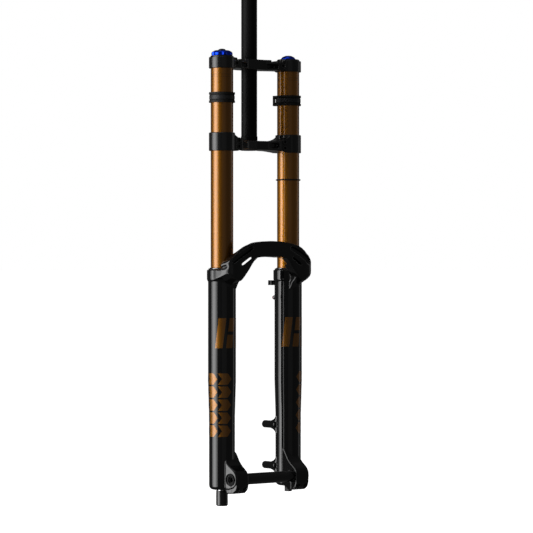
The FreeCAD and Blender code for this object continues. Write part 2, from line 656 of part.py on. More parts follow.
def make_post_mount(body):
    """Two rearward brake bosses on the left leg, webbed into the tube."""
    for name, height in (("upper", "dims.post_upper"), ("lower", "dims.post_lower")):
        pad(body, f"post_{name}", "XZ_Plane", "-dims.post_face", "dims.post_face + 10",
            circles=[("dims.post_offset", height, "dims.post_boss_od / 2")])
        web = [
            ("-12", f"{height} + 17"), ("-3", f"{height} + 9.5"), ("6", f"{height} + 6.4"),
            ("6", f"{height} - 6.4"),
            ("-3", f"{height} - 9.5"), ("-12", f"{height} - 17"),
        ]
        pad(body, f"post_{name}_web", "YZ_Plane", "dims.post_offset - 3", "12", web)
    spine = [("56", "-16"), ("57", "-5"), ("60", "-3.4"), ("64", "-3.4"), ("66", "-8"), ("66", "-16")]
    pad(body, "post_spine", "XY_Plane", "-590", "150", spine)


def make_leg_bosses(body):
    """Rear channel ridge and bleeder boss on each leg, and the hose guide's boss on the left leg."""
    rear = f"{LEG_Y} + dims.leg_od / 2"
    for side in LEG_X:
        pad(
            body, "leg_ridge_" + side, "XY_Plane", "-478", "188",
            circles=[(LEG_X[side], rear + " - 2.2", "4.6")]
        )
        pad(
            body, "bleeder_boss_" + side, "XZ_Plane", f"-({rear}) - 1.3", "8",
            circles=[(BLEEDER_X[side], "-281", "5.2")]
        )
    pad(body, "hose_guide_boss", "XZ_Plane", "-4.4", "9.4", circles=[("61", "-254.6", "4")])


def cut_dropout_features(body):
    clearance = "dims.axle_od / 2 + 0.03"
    pocket(
        body, "axle_bore", "YZ_Plane", "-100", "181",
        circles=[("dims.axle_rake", "dims.axle_height", clearance)]
    )
    slot = rectangle("dims.axle_rake - 1", "-640", "dims.axle_rake + 1", "dims.axle_height")
    pocket(body, "axle_pinch_slots", "YZ_Plane", "-100", "200", slot)
    for side, sign in SIDE_SIGN.items():
        holes = [(f"{sign} * {across}", "-618", "2.5") for across in (62, 78)]
        pocket(body, "axle_bolt_holes_" + side, "XZ_Plane", "38", "40", circles=holes)
        seats = [(f"{sign} * {across}", "-618", "4.2") for across in (62, 78)]
        pocket(body, "axle_bolt_seats_" + side, "XZ_Plane", "56", "20", circles=seats)


def make_lower_legs():
    body = new_body("lower_legs")
    make_arch(body)
    make_arch_roots(body)
    trim_arch(body)
    for side in LEG_X:
        revolve(body, "leg_tube_" + side, leg_profile(), LEG_X[side], LEG_Y)
    make_dropouts(body)
    make_post_mount(body)
    make_leg_bosses(body)
    for side in LEG_X:
        revolve(body, "leg_bore_" + side, bore_profile(), LEG_X[side], LEG_Y, cut=True)
    pocket(
        body, "foot_holes", "XY_Plane", "-700", "120",
        circles=[(LEG_X[side], LEG_Y, SHAFT) for side in LEG_X]
    )
    cut_dropout_features(body)
    pocket(body, "post_threads", "XZ_Plane", "-60", "52",
           circles=[("dims.post_offset", height, "2.5") for height in ("dims.post_upper", "dims.post_lower")])
    pocket(body, "bleeder_ports", "XZ_Plane", "-30", "30",
           circles=[(BLEEDER_X[side], "-281", "2.5") for side in LEG_X])
    pocket(body, "hose_guide_hole", "XZ_Plane", "-30", "30.5", circles=[("61", "-254.6", "1.5")])


def make_leg_seals():
    seat = "dims.seal_seat_od / 2"
    flange = "dims.collar_top"
    for side in LEG_X:
        x = LEG_X[side]
        turned("wiper_seal_" + side, [
            (f"{STANCHION} + {GAP}", "-240"), (seat, "-240"), (seat, flange), (seat + " + 0.2", flange),
            (seat + " + 0.2", flange + " + 1.4"), ("23.6", flange + " + 2"), ("23", flange + " + 2"),
            ("23", flange + " + 1"),
            ("21.6", flange + " + 1"), ("21.6", flange + " + 2.6"), ("20.9", flange + " + 3.4"),
            (f"{STANCHION} + {GAP}", flange + " + 3.4"),
        ], x, LEG_Y)
        sleeve("garter_spring_" + side, "21.65", "22.85", flange + " + 1.05", flange + " + 2.2", x, LEG_Y)
        sleeve("foam_ring_" + side, f"{STANCHION} + 0.3", seat, "-250", "-240.2", x, LEG_Y)
        bore = "dims.leg_bore / 2"
        sleeve("upper_bushing_" + side, f"{STANCHION} + {GAP}", bore, "-278", "-252", x, LEG_Y)
        sleeve("lower_bushing_" + side, f"{STANCHION} + {GAP}", bore, "-372", "-344", x, LEG_Y)


def make_damper_lower():
    x = LEG_X["right"]
    tube = "dims.damper_tube_bore / 2"
    turned("damper_shaft", [
        ("2", "-629"), (SHAFT, "-629"), (SHAFT, "-352"), ("4", "-352"), ("4", "-336"), ("2", "-336"),
    ], x, LEG_Y)
    sleeve("rebound_piston", "4", f"{tube} - {GAP}", "-352", "-338", x, LEG_Y)
    sleeve("foot_nut_right", SHAFT, "7.6", "-629", "-621.2", x, LEG_Y)
    turned("high_speed_rebound_knob", [
        ("3.3", "-639"), ("6.2", "-639"), ("7", "-638"), ("7", "-629.4"), ("3.3", "-629.4"),
    ], x, LEG_Y)
    turned("low_speed_rebound_knob", [
        ("0", "-645"), ("2.8", "-645"), ("3.2", "-644.4"), ("3.2", "-629.4"), ("1.95", "-629.4"),
        ("1.95", "-600"), ("0", "-600"),
    ], x, LEG_Y)
    cover = "dims.foot_cover_od / 2"
    end = "dims.foot_cover_end"
    turned("rebound_cover", [
        ("0", end), (cover + " - 1.6", end), (cover, end + " + 1.6"), (cover, "-621.6"), ("7.65", "-621.6"),
        ("7.65", "-646.6"), ("0", "-646.6"),
    ], x, LEG_Y)


def make_air_lower():
    x = LEG_X["left"]
    turned("air_shaft", [
        ("2", "-629"), (SHAFT, "-629"), (SHAFT, "-357"), ("4", "-357"), ("4", "-341"), ("2", "-341"),
    ], x, LEG_Y)
    sleeve("air_piston", "4", f"{BORE} - {GAP}", "-357", "-343", x, LEG_Y)
    sleeve("top_out_bumper", SHAFT, "9", "-371", "-357", x, LEG_Y)
    sleeve("bottom_out_bumper", SHAFT, "16", "dims.leg_floor", "dims.leg_floor + 8.5", x, LEG_Y)
    nut = new_body("foot_nut_left")
    pad(nut, "foot_nut_left_hex", "XY_Plane", "-631", "9.8",
        outline=[(f"{x} + 7 * {round(c, 5)}", f"{LEG_Y} + 7 * {round(s, 5)}") for c, s in hexagon()])
    pocket(nut, "foot_nut_left_thread", "XY_Plane", "-629", "20", circles=[(x, LEG_Y, SHAFT)])
    washers = new_body("crush_washers")
    for side in LEG_X:
        ring = [(SHAFT, "-621.2"), ("8.6", "-621.2"), ("8.6", "dims.leg_bottom"), (SHAFT, "dims.leg_bottom")]
        revolve(washers, "crush_washer_" + side, ring, LEG_X[side], LEG_Y)


def hexagon():
    half = 0.5
    root = 0.8660254
    return [(1, 0), (half, root), (-half, root), (-1, 0), (-half, -root), (half, -root)]


def make_axle():
    body = new_body("axle")
    pad(
        body, "axle_bar", "YZ_Plane", "-85", "165.6",
        circles=[("dims.axle_rake", "dims.axle_height", "dims.axle_od / 2")]
    )
    pocket(
        body, "axle_core", "YZ_Plane", "-70", "160", circles=[("dims.axle_rake", "dims.axle_height", "7.2")]
    )
    drive = [
        (f"dims.axle_rake + 4.6 * {round(c, 5)}", f"dims.axle_height + 4.6 * {round(s, 5)}")
        for c, s in hexagon()
    ]
    pocket(body, "axle_hex", "YZ_Plane", "-90", "17", drive)
    pocket(
        body, "axle_head_recess", "YZ_Plane", "-90", "7.5",
        circles=[("dims.axle_rake", "dims.axle_height", "6.6")]
    )


def make_fittings():
    pinch = [(f"{sign} * {across}", "-618", "61") for sign in SIDE_SIGN.values() for across in (62, 78)]
    cap_screws("axle_pinch_bolts", "XZ_Plane", pinch, "4", "2.5", "5", "21")
    rear = f"{LEG_Y} + dims.leg_od / 2"
    for side in LEG_X:
        body = new_body("bleeder_body_" + side)
        seat = f"-({rear}) - 1.3"
        pad(
            body, "bleeder_flange_" + side, "XZ_Plane", seat + " - 1.8", "1.8",
            circles=[(BLEEDER_X[side], "-281", "4.4")]
        )
        pad(
            body, "bleeder_thread_" + side, "XZ_Plane", seat + " - 1.8", "5.5",
            circles=[(BLEEDER_X[side], "-281", "2.5")]
        )
        pocket(
            body, "bleeder_hole_" + side, "XZ_Plane", "-30", "40",
            circles=[(BLEEDER_X[side], "-281", "1.65")]
        )
        button = new_body("bleeder_button_" + side)
        pad(
            button, "bleeder_press_" + side, "XZ_Plane", seat + " - 5.4", "1.8",
            circles=[(BLEEDER_X[side], "-281", "3.4")]
        )
        pad(
            button, "bleeder_stem_" + side, "XZ_Plane", seat + " - 5.4", "8",
            circles=[(BLEEDER_X[side], "-281", "1.6")]
        )
    guide = new_body("hose_guide")
    pad(guide, "hose_guide_block", "XZ_Plane", "-14", "9.6", rectangle("55.5", "-258.6", "64.5", "-249.8"))
    pocket(guide, "hose_guide_channel", "XY_Plane", "-270", "30", circles=[("55.5", "9.5", "2.6")])
    pocket(guide, "hose_guide_hole_through", "XZ_Plane", "-30", "60", circles=[("61", "-254.6", "1.5")])
    screw = new_body("hose_guide_screw")
    pad(screw, "hose_guide_screw_shank", "XZ_Plane", "-15", "15.5", circles=[("61", "-254.6", "1.5")])
    pad(screw, "hose_guide_screw_head", "XZ_Plane", "-16.2", "1.6", circles=[("61", "-254.6", "2.8")])


def make_lowers():
    make_lower_legs()
    make_leg_seals()
    make_damper_lower()
    make_air_lower()
    make_axle()
    make_fittings()


def write_parts():
    document.recompute()
    for item in document.Objects:
        broken = {"Invalid", "Error"} & set(item.State)
        if broken:
            raise ValueError(f"{item.Label}: {broken}")
    os.makedirs("parts", exist_ok=True)
    for part in sub_parts:
        shape = part.Shape
        if shape.isNull() or not shape.isValid() or not shape.Solids:
            raise ValueError(part.Label + " has no valid shape")
        shape.exportStep(f"parts/{part.Label}.step")
        print(f"{part.Label}: {len(shape.Solids)} solids, {shape.Volume / 1000:.2f} cm3")


make_crown_assembly()
make_lowers()
write_parts()
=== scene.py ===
"""Dual-crown suspension fork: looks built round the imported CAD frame, in metres."""
import json
import math

import bmesh
import bpy
import numpy as np
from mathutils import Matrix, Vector

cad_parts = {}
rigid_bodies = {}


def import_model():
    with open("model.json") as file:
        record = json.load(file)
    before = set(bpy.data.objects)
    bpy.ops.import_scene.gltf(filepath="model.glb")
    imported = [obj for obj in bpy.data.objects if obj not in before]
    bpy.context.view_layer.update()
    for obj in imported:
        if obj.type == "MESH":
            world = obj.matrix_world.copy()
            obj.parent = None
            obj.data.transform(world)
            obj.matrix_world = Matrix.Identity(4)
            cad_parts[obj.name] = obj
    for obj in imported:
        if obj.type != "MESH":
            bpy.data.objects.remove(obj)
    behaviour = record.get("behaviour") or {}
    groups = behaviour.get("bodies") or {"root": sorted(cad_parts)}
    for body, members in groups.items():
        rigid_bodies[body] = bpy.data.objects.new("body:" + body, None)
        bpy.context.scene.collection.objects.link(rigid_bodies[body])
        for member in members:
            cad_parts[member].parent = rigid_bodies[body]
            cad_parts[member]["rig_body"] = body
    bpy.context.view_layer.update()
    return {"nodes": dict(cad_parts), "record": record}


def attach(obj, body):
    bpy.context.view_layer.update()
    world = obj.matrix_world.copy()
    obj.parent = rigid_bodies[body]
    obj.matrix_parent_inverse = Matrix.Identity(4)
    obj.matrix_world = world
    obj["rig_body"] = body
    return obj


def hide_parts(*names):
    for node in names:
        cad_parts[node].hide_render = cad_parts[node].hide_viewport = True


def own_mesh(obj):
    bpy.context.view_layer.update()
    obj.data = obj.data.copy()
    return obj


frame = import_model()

NODES = frame["nodes"]
MM = 0.001

# The casting's own sizes, in the frame of the crown race.
LEG_OFFSET = 76.5 * MM
LEG_RAKE = -17.7 * MM
LEG_BASE = -611 * MM
LEG_TAPER = (-490 * MM, -428 * MM)
LEG_TAPER_RADII = (22.95 * MM, 24.7 * MM)
COLLAR_BASE = -249 * MM
COLLAR_RIM = -230.4 * MM
COLLAR_RADIUS = 26.8 * MM
POST_WIDTH = (46 * MM, 66 * MM)
POST_FRONT = 8 * MM
WEB_FOOT = np.array((64, -45, -254)) * MM
WEB_FOOT_REACH = (12 * MM, 20 * MM)
ARCH_ROOT = -238 * MM
ARCH_ROOT_REACH = (14 * MM, 26 * MM)
ARCH_ROOT_BACK = -34 * MM

# How far the skins are softened. A share is how much of the way to its neighbours a point moves in one round.
CASTING_VOXEL = 1.1 * MM
LOWER_CROWN_VOXEL = 0.9 * MM
UPPER_CROWN_VOXEL = 0.8 * MM
FULL_SHARE = 0.5
CRISP_SHARE = 0.12
CASTING_ROUNDS = 6
ARCH_ROOT_ROUNDS = 16
CROWN_ROUNDS = 2
SNAP_REACH = (0.35 * MM, 0.9 * MM)
FACING_OUT = 0.9
COLLAR_LIP = 1.5 * MM
COLLAR_FILLET = 4 * MM

# The right axle block's outer face, which leans about an upright line ahead of the steerer, at PAD_PIVOT.
PAD_PIVOT = -50 * MM
PAD_DRAFT = 0.2
PAD_SPAN = (-8 * MM, 17 * MM)
PAD_TOP = (-556 * MM, -548 * MM)
PAD_FACE = (-83 * MM, -78 * MM)
PAD_BACK = (-42 * MM, -38 * MM)

# The floating piston's spring, and how far its piston rises over the whole travel. At each end a share of the
# turns, CLOSED_TURNS, lies close and takes up only the share CLOSED_RISE of the length.
SPRING_INNER = 10.4 * MM
SPRING_OUTER = 12.8 * MM
SPRING_LOW = -7.8 * MM
SPRING_HIGH = 111.8 * MM
SPRING_TURNS = 11
SPRING_STEPS = 28
CLOSED_TURNS = 0.09
CLOSED_RISE = 0.032
WIRE_SIDES = 10

# The two faint lines etched round each stanchion, and the gain that brightens the left stanchion's gold as
# painted light, standing in for more light falling on it.
ETCHED_LINES = (111 * MM, 115 * MM)
ETCHED_HALF_WIDTH = 0.5 * MM
ETCHED_DARKENING = 0.35
LEFT_GOLD_PAINTED_LIGHT = 1.35

# The bronze marks. Their angles are in degrees round the leg.
DECAL_LIFT = 0.12 * MM
DECAL_DEPTH = 0.35 * MM
DECAL_COLUMNS = 14
DECAL_ROWS = 10
FRONT_MARK_LOW = -369 * MM
FRONT_MARK_HIGH = -316 * MM
FRONT_MARK_GAP = 3 * MM
CHEVRON_TOP = -413.5 * MM
CHEVRON_PITCH = 23 * MM
CHEVRON_HEIGHT = 20 * MM
CHEVRON_ROWS = 5
CHEVRON_STARTS = (-94, -32, 30)
CHEVRON_WIDTH = 42
CHEVRON_LEAN = 18


def paint(node, material):
    """Give a CAD node one material in place of its own."""
    slots = NODES[node].data.materials
    slots.clear()
    slots.append(material)


# ---------------------------------------------------------------- materials

class Graph:
    """A node material under construction, with its Principled shader ready."""

    def __init__(self, name):
        self.material = bpy.data.materials.new(name)
        self.material.use_nodes = True
        self.tree = self.material.node_tree
        self.shader = self.tree.nodes["Principled BSDF"]
        self.coordinates = self.tree.nodes.new("ShaderNodeTexCoord")

    def node(self, kind, **settings):
        """A new node, with each setting put on its property or else on its input."""
        made = self.tree.nodes.new("ShaderNode" + kind)
        for key, value in settings.items():
            if hasattr(made, key):
                setattr(made, key, value)
            else:
                made.inputs[key.replace("_", " ")].default_value = value
        return made

    def link(self, source, target):
        self.tree.links.new(source, target)

    def set(self, **values):
        for key, value in values.items():
            self.shader.inputs[key.replace("_", " ")].default_value = value

    def noise(self, scale, stretch=(1, 1, 1), detail=3.0, roughness=0.55):
        """Noise over the object's own space, scale in features per metre."""
        mapping = self.node("Mapping")
        mapping.inputs["Scale"].default_value = stretch
        self.link(self.coordinates.outputs["Object"], mapping.inputs["Vector"])
        noise = self.node("TexNoise", Scale=scale, Detail=detail, Roughness=roughness)
        self.link(mapping.outputs["Vector"], noise.inputs["Vector"])
        return noise.outputs["Fac"]

    def ramp(self, source, stops):
        """A colour ramp with the given (place, colour) stops."""
        ramp = self.node("ValToRGB")
        elements = ramp.color_ramp.elements
        while len(elements) < len(stops):
            elements.new(0.5)
        for element, (place, colour) in zip(elements, stops):
            element.position = place
            element.color = (*colour, 1)
        self.link(source, ramp.inputs["Fac"])
        return ramp.outputs["Color"]

    def tones(self, source, dark, light):
        """Dark to light as the source runs over its middle."""
        return self.ramp(source, [(0.3, dark), (0.7, light)])

    def spread(self, source, low, high):
        """A value that runs from low to high as the source runs over its middle."""
        spread = self.node("MapRange")
        for key, value in (("From Min", 0.3), ("From Max", 0.7), ("To Min", low), ("To Max", high)):
            spread.inputs[key].default_value = value
        self.link(source, spread.inputs["Value"])
        return spread.outputs["Result"]

    def bump(self, source, distance, strength=1.0):
        bump = self.node("Bump", Strength=strength, Distance=distance)
        self.link(source, bump.inputs["Height"])
        return bump.outputs["Normal"]

    def ring_mask(self, height, half_width):
        """1 on a ring round the part at one height, 0 elsewhere."""
        split = self.node("SeparateXYZ")
        self.link(self.coordinates.outputs["Object"], split.inputs["Vector"])
        compare = self.node("Math", operation="COMPARE")
        self.link(split.outputs["Z"], compare.inputs[0])
        compare.inputs[1].default_value = height
        compare.inputs[2].default_value = half_width
        return compare.outputs["Value"]

    def darken(self, colour, mask, amount):
        """The colour taken down by a share of itself where the mask is 1."""
        scale = self.node("MapRange")
        scale.inputs["To Min"].default_value = 1.0
        scale.inputs["To Max"].default_value = 1.0 - amount
        self.link(mask, scale.inputs["Value"])
        mixed = self.node("VectorMath", operation="SCALE")
        self.link(colour, mixed.inputs[0])
        self.link(scale.outputs["Result"], mixed.inputs["Scale"])
        return mixed.outputs["Vector"]

    def use(self, socket, output):
        self.link(output, self.shader.inputs[socket])


def gloss_black():
    """Black powder coat under clear lacquer: faint cloud in the colour, fine orange peel in the surface."""
    g = Graph("gloss_black_paint")
    cloud = g.noise(60)
    g.use("Base Color", g.tones(cloud, (0.0024, 0.0024, 0.0026), (0.0038, 0.0038, 0.004)))
    g.use("Roughness", g.spread(g.noise(900, detail=2), 0.45, 0.6))
    g.set(Specular_IOR_Level=0.02, Coat_Weight=1.0, Coat_Roughness=0.09, Coat_IOR=1.5)
    g.use("Normal", g.bump(g.noise(260, detail=1), 0.02 * MM, 0.06))
    return g.material


def metal(name, dark, light, roughness, grain, stretch=(1, 1, 1), bump=0.01 * MM):
    """Anodised or machined metal: colour, roughness and a fine directional grain."""
    g = Graph(name)
    g.set(Metallic=1.0)
    g.use("Base Color", g.tones(g.noise(grain, stretch), dark, light))
    g.use("Roughness", g.spread(g.noise(grain * 2, stretch, detail=4), *roughness))
    g.use("Normal", g.bump(g.noise(grain * 3, stretch, detail=2), bump, 0.5))
    return g.material


def gold_hardcoat(name="gold_hardcoat", painted_light_gain=1.0):
    """Hard-anodised gold with a slick clear surface: fine drawn grain along the tube, faint height lines. A
    gain above 1 brightens the colour as painted light.
    """
    g = Graph(name)
    dark = (0.225 * painted_light_gain, 0.082 * painted_light_gain, 0.0008)
    light = (0.25 * painted_light_gain, 0.092 * painted_light_gain, 0.0012)
    fine = g.noise(500, (1, 1, 0.04), detail=2)
    g.set(Metallic=0.92, Specular_IOR_Level=0.1, Coat_Weight=1.0, Coat_Roughness=0.08, Coat_IOR=1.5)
    colour = g.tones(fine, dark, light)
    for height in ETCHED_LINES:
        colour = g.darken(colour, g.ring_mask(height, ETCHED_HALF_WIDTH), ETCHED_DARKENING)
    g.use("Base Color", colour)
    g.use("Roughness", g.spread(g.noise(900, (1, 1, 0.05), detail=2), 0.43, 0.47))
    g.use("Normal", g.bump(g.noise(900, (1, 1, 0.05), detail=2), 0.001 * MM, 0.1))
    return g.material


def matt_black():
    """Matt black anodising: bead-blasted grain with hardly any sheen."""
    g = Graph("black_anodised_tube")
    g.set(Specular_IOR_Level=0.06)
    g.use("Base Color", g.tones(g.noise(900), (0.0048,) * 3, (0.0072,) * 3))
    g.use("Roughness", g.spread(g.noise(2400, detail=3), 0.45, 0.55))
    g.use("Normal", g.bump(g.noise(6000, detail=2), 0.004 * MM, 0.4))
    return g.material


def satin_black(name="black_anodised", level=0.004):
    """Sealed black anodising on machined metal: fine grain under a soft shine."""
    g = Graph(name)
    g.set(Specular_IOR_Level=0.1, Coat_Weight=0.95, Coat_Roughness=0.14, Coat_IOR=1.5)
    g.use("Base Color", g.tones(g.noise(900), (level * 0.8,) * 3, (level * 1.2,) * 3))
    g.use("Roughness", g.spread(g.noise(2400, detail=3), 0.4, 0.5))
    g.use("Normal", g.bump(g.noise(5000, detail=2), 0.004 * MM, 0.4))
    return g.material


def rubber():
    """Moulded rubber: dull, with a coarse grain."""
    g = Graph("black_rubber")
    g.set(Specular_IOR_Level=0.25)
    g.use("Base Color", g.tones(g.noise(700), (0.006, 0.006, 0.006), (0.011, 0.011, 0.010)))
    g.use("Roughness", g.spread(g.noise(1500), 0.55, 0.72))
    g.use("Normal", g.bump(g.noise(4500, detail=3), 0.05 * MM, 0.6))
    return g.material


def nylon():
    """Moulded nylon: a little smoother and greyer than the rubber."""
    g = Graph("black_nylon")
    g.set(Specular_IOR_Level=0.3)
    g.use("Base Color", g.tones(g.noise(300), (0.012, 0.012, 0.013), (0.022, 0.022, 0.023)))
    g.use("Roughness", g.spread(g.noise(900), 0.42, 0.55))
    g.use("Normal", g.bump(g.noise(2600, detail=3), 0.04 * MM, 0.5))
    return g.material


def foam():
    """Oiled open-cell foam of the seals' rings."""
    g = Graph("seal_foam")
    cells = g.node("TexVoronoi", Scale=1800.0)
    g.link(g.coordinates.outputs["Object"], cells.inputs["Vector"])
    shades = [(0.1, (0.55, 0.50, 0.34)), (0.6, (0.80, 0.76, 0.60))]
    g.use("Base Color", g.ramp(cells.outputs["Distance"], shades))
    g.set(Roughness=0.9)
    g.use("Normal", g.bump(cells.outputs["Distance"], 0.2 * MM))
    return g.material


def anodised(name, dark, light):
    """Bright anodising on a turned part, with its grain round the axis."""
    return metal(name, dark, light, (0.22, 0.32), 900, (1, 1, 5), 0.008 * MM)


def bronze_print():
    """Metallic bronze transfer under the lacquer, with the fine speckle of its pigment."""
    g = Graph("bronze_print")
    speckle = g.noise(3500, detail=1)
    g.use("Base Color", g.tones(speckle, (0.20, 0.078, 0.003), (0.26, 0.10, 0.006)))
    g.use("Roughness", g.spread(g.noise(2600, detail=2), 0.44, 0.52))
    g.set(Metallic=0.9, Specular_IOR_Level=0.1, Coat_Weight=1.0, Coat_Roughness=0.09, Coat_IOR=1.5)
    g.use("Normal", g.bump(speckle, 0.006 * MM, 0.3))
    return g.material


def make_materials():
    """The material of each slot in the record."""
    return {
        "gloss_black_casting": gloss_black(),
        "black_anodised": satin_black(),
        "gold_hardcoat": gold_hardcoat(),
        "blue_anodised": anodised("blue_anodised", (0.005, 0.03, 0.50), (0.01, 0.06, 0.80)),
        "red_anodised": anodised("red_anodised", (0.45, 0.01, 0.01), (0.65, 0.02, 0.02)),
        "black_steel": satin_black("black_oxide_steel", 0.012),
        "black_rubber": rubber(),
        "black_plastic": nylon(),
        "plain_aluminium": metal("machined_aluminium", (0.62, 0.62, 0.64), (0.75, 0.75, 0.77),
                                 roughness=(0.25, 0.38), grain=1200, stretch=(1, 1, 8)),
        "bright_steel": metal("polished_steel", (0.66, 0.66, 0.68), (0.78, 0.78, 0.80),
                              roughness=(0.10, 0.18), grain=900),
        "bronze_bushing": metal("bronze_bushing", (0.30, 0.19, 0.09), (0.46, 0.32, 0.16),
                                roughness=(0.35, 0.5), grain=700),
        "seal_foam": foam(),
    }


def finish_nodes(materials):
    """Paints every CAD node by its slot; the steerer has a finish of its own, and the left stanchion gets the
    same gold brightened as painted light.
    """
    for entry in frame["record"]["subparts"]:
        paint(entry["node"], materials[entry["material_slot"]])
    paint("steerer", matt_black())
    # Painted light: the left stanchion's gold is brightened to stand in for more light falling on it.
    paint("stanchion_left", gold_hardcoat("gold_hardcoat_left_painted_light", LEFT_GOLD_PAINTED_LIGHT))


# ---------------------------------------------------------------- pieces

def add_piece(name, mesh, body, material):
    """Put a finished mesh into the scene as a piece that rides on one body."""
    piece = bpy.data.objects.new(name, mesh)
    bpy.context.scene.collection.objects.link(piece)
    mesh.materials.clear()
    mesh.materials.append(material)
    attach(piece, body)
    return piece


def welded_copy(node):
    """The node's mesh with its split corners joined, so that it is one closed skin."""
    mesh = NODES[node].data.copy()
    work = bmesh.new()
    work.from_mesh(mesh)
    bmesh.ops.remove_doubles(work, verts=work.verts, dist=0.01 * MM)
    work.to_mesh(mesh)
    work.free()
    return mesh


def remeshed(node, voxel):
    """Even, closed skin over the node's shape, fine enough to be softened."""
    holder = bpy.data.objects.new("remesh_holder", welded_copy(node))
    bpy.context.scene.collection.objects.link(holder)
    remesh = holder.modifiers.new("even_skin", "REMESH")
    remesh.mode = "VOXEL"
    remesh.voxel_size = voxel
    graph = bpy.context.evaluated_depsgraph_get()
    mesh = bpy.data.meshes.new_from_object(holder.evaluated_get(graph))
    bpy.data.objects.remove(holder)
    return mesh


def read_points(mesh):
    points = np.empty(len(mesh.vertices) * 3)
    mesh.vertices.foreach_get("co", points)
    return points.reshape(-1, 3)


def write_points(mesh, points):
    mesh.vertices.foreach_set("co", points.ravel())
    mesh.update()


def relax(mesh, points, share, rounds):
    """Moves each point a share of the way to the middle of its neighbours, which rounds the edges."""
    edges = np.empty(len(mesh.edges) * 2, dtype=np.int64)
    mesh.edges.foreach_get("vertices", edges)
    first, second = edges.reshape(-1, 2).T
    count = len(points)
    degree = np.maximum(np.bincount(first, minlength=count) + np.bincount(second, minlength=count), 1)
    share = np.broadcast_to(share, count)
    for _ in range(rounds):
        middle = np.empty_like(points)
        for axis in range(3):
            values = points[:, axis]
            total = np.bincount(first, values[second], count) + np.bincount(second, values[first], count)
            middle[:, axis] = total / degree
        points = points + share[:, None] * (middle - points)
    return points


def fade(values, near, far):
    """1 below near, 0 above far, smooth between."""
    t = np.clip((values - near) / (far - near), 0, 1)
    return 1 - t * t * (3 - 2 * t)


def shade_smooth(mesh, angle=None):
    mesh.shade_smooth()
    if angle is not None:
        mesh.set_sharp_from_angle(angle=math.radians(angle))


def round_normals(mesh, outward, share):
    """Shades the turned parts of the skin as true cylinders instead of as their small facets."""
    normals = np.empty(len(mesh.vertices) * 3)
    mesh.vertices.foreach_get("normal", normals)
    normals = normals.reshape(-1, 3)
    radial = np.zeros_like(normals)
    radial[:, :2] = outward / np.maximum(np.linalg.norm(outward, axis=1), 1e-9)[:, None]
    share = (share * (np.einsum("ij,ij->i", normals, radial) > FACING_OUT))[:, None]
    blended = normals * (1 - share) + radial * share
    blended /= np.linalg.norm(blended, axis=1)[:, None]
    mesh.normals_split_custom_set_from_vertices(blended)


def leg_radius(height):
    """Outer radius of a leg tube at each height, between the collar and the foot."""
    return np.interp(height, LEG_TAPER, LEG_TAPER_RADII)


def soften_casting(mesh):
    """Rounds the edges: most where the arch runs into the collars, least on the posts and web feet."""
    points = read_points(mesh)
    across, along, _ = points.T
    on_post = (across > POST_WIDTH[0]) & (across < POST_WIDTH[1]) & (along > POST_FRONT)
    from_web = np.stack([np.abs(across), along, points[:, 2]], axis=1) - WEB_FOOT
    at_web = fade(np.linalg.norm(from_web, axis=1), *WEB_FOOT_REACH)
    share = np.where(on_post, CRISP_SHARE, FULL_SHARE - (FULL_SHARE - CRISP_SHARE) * at_web)
    points = relax(mesh, points, share, CASTING_ROUNDS)
    at_root = fade(np.abs(points[:, 2] - ARCH_ROOT), *ARCH_ROOT_REACH) * (points[:, 1] < ARCH_ROOT_BACK)
    return relax(mesh, points, FULL_SHARE * at_root * (1 - at_web), ARCH_ROOT_ROUNDS)


def draft_axle_pad(points):
    """Leans the outer face of the right leg's axle block, so that it draws in towards the front."""
    lean = np.clip(PAD_PIVOT - points[:, 1], *PAD_SPAN) * PAD_DRAFT
    outside = fade(points[:, 2], *PAD_TOP) * fade(points[:, 0], *PAD_FACE)
    ahead = fade(points[:, 1], *PAD_BACK)
    points[:, 0] += lean * outside * ahead


def snap_to_tubes(points):
    """Puts points that are nearly on a leg tube or a collar exactly on it.

    Returns each point's way out from its leg's axis, and how strongly the point was held.
    """
    middle = np.stack([LEG_OFFSET * np.sign(points[:, 0]), np.full(len(points), LEG_RAKE)], axis=1)
    outward = points[:, :2] - middle
    reach = np.linalg.norm(outward, axis=1)
    height = points[:, 2]
    held = np.zeros(len(points))
    for radius, low, high in ((leg_radius(height), LEG_BASE, COLLAR_BASE - COLLAR_FILLET),
                              (COLLAR_RADIUS, COLLAR_BASE + COLLAR_LIP, COLLAR_RIM - COLLAR_LIP)):
        near = fade(np.abs(reach - radius), *SNAP_REACH) * (height > low) * (height < high)
        scale = 1 + near * (radius / np.maximum(reach, 1e-9) - 1)
        outward *= scale[:, None]
        reach = reach * scale
        held = np.maximum(held, near)
    points[:, :2] = middle + outward
    return outward, held


def cast_lowers(material):
    """The one-piece casting with rounded edges and fillets where its ribs run into the tubes."""
    mesh = remeshed("lower_legs", CASTING_VOXEL)
    points = soften_casting(mesh)
    outward, held = snap_to_tubes(points)
    draft_axle_pad(points)
    write_points(mesh, points)
    shade_smooth(mesh)
    round_normals(mesh, outward, held)
    piece = add_piece("lower_casting", mesh, "lowers", material)
    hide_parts("lower_legs")


def stand_in(node, name, mesh, materials):
    """A piece that takes a node's place on its body, in its material slot."""
    entry = next(entry for entry in frame["record"]["subparts"] if entry["node"] == node)
    slot = entry["material_slot"]
    piece = add_piece(name, mesh, NODES[node]["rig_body"], materials[slot])
    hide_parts(node)
    return piece


def soften_crown(node, name, voxel, materials):
    """A machined crown again with its edges broken."""
    mesh = remeshed(node, voxel)
    write_points(mesh, relax(mesh, read_points(mesh), FULL_SHARE, CROWN_ROUNDS))
    shade_smooth(mesh)
    stand_in(node, name, mesh, materials)


def finished_mesh(work, name, angle):
    """The mesh under construction as a mesh, its faces outward and smooth across edges under the angle."""
    bmesh.ops.recalc_face_normals(work, faces=work.faces)
    mesh = bpy.data.meshes.new(name)
    work.to_mesh(mesh)
    work.free()
    shade_smooth(mesh, angle)
    return mesh


